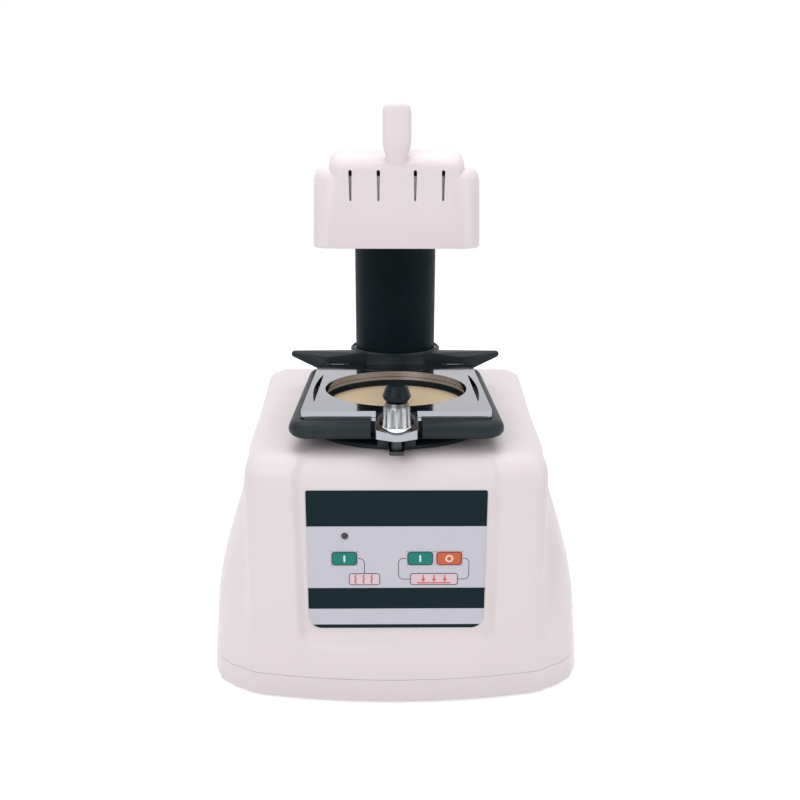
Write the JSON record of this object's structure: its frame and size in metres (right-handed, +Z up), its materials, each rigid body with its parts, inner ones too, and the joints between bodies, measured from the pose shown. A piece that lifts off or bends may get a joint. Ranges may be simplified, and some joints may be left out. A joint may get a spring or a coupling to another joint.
{
  "type": "dental vacuum former",
  "caption": "Bench vacuum former: white moulded base with a key panel, chrome hinged sheet frame on a sliding carriage, black column and a swinging heater head.",
  "frame": {"origin": "middle of the footprint, on the surface that the feet stand on", "axes": "+Z up, +X to the right of someone facing the control panel, +Y away from them, to the rear wall"},
  "size_m": [0.298, 0.3108, 0.438],
  "materials": {
    "white_abs": "moulded shell, soft gloss",
    "black_rubber": "matte",
    "plated_steel": "zinc plated",
    "bright_sheet": "bright rolled",
    "label_film": "printed overlay film",
    "green_key": "printed overlay film",
    "orange_key": "printed overlay film",
    "dark_lens": "tinted lens",
    "circuit_board": "solder resist",
    "iron_core": "varnished laminations",
    "motor_case": "pressed cans",
    "black_casting": "matte powder coat",
    "black_moulding": "fine texture",
    "tan_plate": "fine sintered grain",
    "bearing_plastic": "plain",
    "chrome_plate": "polished",
    "black_steel": "black oxide",
    "ceramic_board": "unglazed",
    "heater_wire": "oxidised"
  },
  "bodies": {
    "base": {"bottom_tray": "white_abs", "rubber_feet": "black_rubber", "base_screws": "plated_steel", "housing_shell": "white_abs", "control_label": "label_film", "indicator_led": "dark_lens", "control_board": "circuit_board", "power_board": "circuit_board", "transformer": "iron_core", "vacuum_motor": "motor_case", "fan_housing": "motor_case", "motor_bracket": "plated_steel", "suction_duct": "black_moulding", "duct_gasket": "black_rubber", "suction_base": "black_casting", "seal_ring": "black_rubber", "forming_plate": "tan_plate", "column_tube": "black_casting", "column_plug": "black_moulding", "stop_ring": "black_moulding", "power_inlet": "black_moulding", "switch_frame": "black_moulding", "thrust_washer": "bearing_plastic"},
    "carriage": {"carriage_frame": "black_casting", "collar_bush": "bearing_plastic", "lower_frame": "chrome_plate", "frame_screws": "plated_steel", "hinge_pins": "plated_steel"},
    "sheet_frame": {"upper_frame": "chrome_plate"},
    "clamp": {"clamp_spindle": "black_steel", "clamp_nut": "chrome_plate", "clamp_cap": "black_moulding", "clamp_tip": "chrome_plate"},
    "heater_head": {"heater_cover": "white_abs", "head_chassis": "plated_steel", "swivel_spindle": "plated_steel", "heat_reflector": "bright_sheet", "ceramic_plate": "ceramic_board", "heater_coil": "heater_wire", "terminal_block": "ceramic_board", "chassis_screws": "plated_steel"},
    "heat_on_key": {"heat_on_key": "green_key"},
    "vacuum_on_key": {"vacuum_on_key": "green_key"},
    "vacuum_off_key": {"vacuum_off_key": "orange_key"},
    "power_rocker": {"power_rocker": "black_moulding"}
  },
  "joints": [
    {"name": "carriage_slide", "type": "slide", "parent": "base", "child": "carriage", "axis": [0, 0, 1], "range_m": [0, 0.085]},
    {"name": "head_swing", "type": "hinge", "parent": "base", "child": "heater_head", "pos_m": [0, 0.0755, 0.342], "axis": [0, 0, 1], "range_deg": [-90, 90]},
    {"name": "frame_hinge", "type": "hinge", "parent": "carriage", "child": "sheet_frame", "pos_m": [0, 0.034, 0.2239], "axis": [-1, 0, 0], "range_deg": [0, 32]},
    {"name": "clamp_turn", "type": "hinge", "parent": "sheet_frame", "child": "clamp", "pos_m": [0, -0.1395, 0.227], "axis": [0, 0, 1], "range_deg": [0, 90]},
    {"name": "heat_on_key_press", "type": "slide", "parent": "base", "child": "heat_on_key", "axis": [0, 1, 0], "range_m": [0, 0.0005], "stiffness_N_per_m": 300, "springref_m": -0.002},
    {"name": "vacuum_on_key_press", "type": "slide", "parent": "base", "child": "vacuum_on_key", "axis": [0, 1, 0], "range_m": [0, 0.0005], "stiffness_N_per_m": 300, "springref_m": -0.002},
    {"name": "vacuum_off_key_press", "type": "slide", "parent": "base", "child": "vacuum_off_key", "axis": [0, 1, 0], "range_m": [0, 0.0005], "stiffness_N_per_m": 300, "springref_m": -0.002},
    {"name": "power_switch", "type": "hinge", "parent": "base", "child": "power_rocker", "pos_m": [-0.008, 0.151, 0.062], "axis": [1, 0, 0], "range_deg": [-16, 0]}
  ]
}
